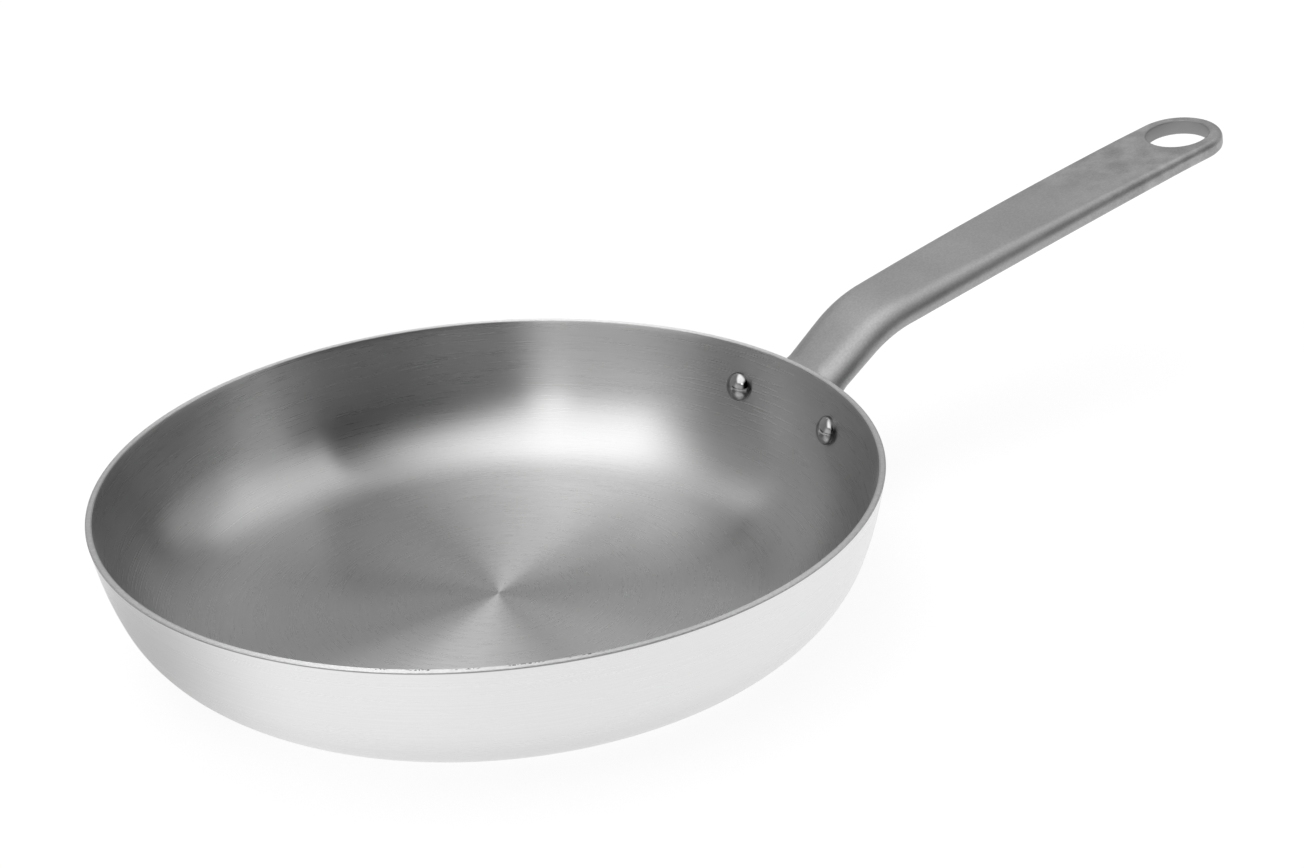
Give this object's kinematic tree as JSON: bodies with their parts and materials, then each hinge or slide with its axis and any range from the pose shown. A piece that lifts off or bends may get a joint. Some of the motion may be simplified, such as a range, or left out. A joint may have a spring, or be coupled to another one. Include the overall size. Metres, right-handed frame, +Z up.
{
  "type": "omelette pan",
  "caption": "Round clad steel omelette pan with curved sides and a flat base, and a riveted cast handle that ends in a hanging hole.",
  "frame": {"origin": "centre of the flat base, on the surface that the pan stands on", "axes": "+Z up; +X from the pan's centre along the handle; +Y to the left of the handle"},
  "size_m": [0.4302, 0.24, 0.0853],
  "materials": {
    "outer_steel": "bright satin",
    "core_aluminium": "cut edge",
    "inner_steel": "brushed in circles",
    "cast_steel": "satin, bead blasted",
    "rivet_steel": "polished"
  },
  "bodies": {
    "root": {"outer_steel_skin": "outer_steel", "aluminium_core": "core_aluminium", "inner_steel_skin": "inner_steel", "handle": "cast_steel", "rivet_left": "rivet_steel", "rivet_right": "rivet_steel"}
  },
  "joints": []
}
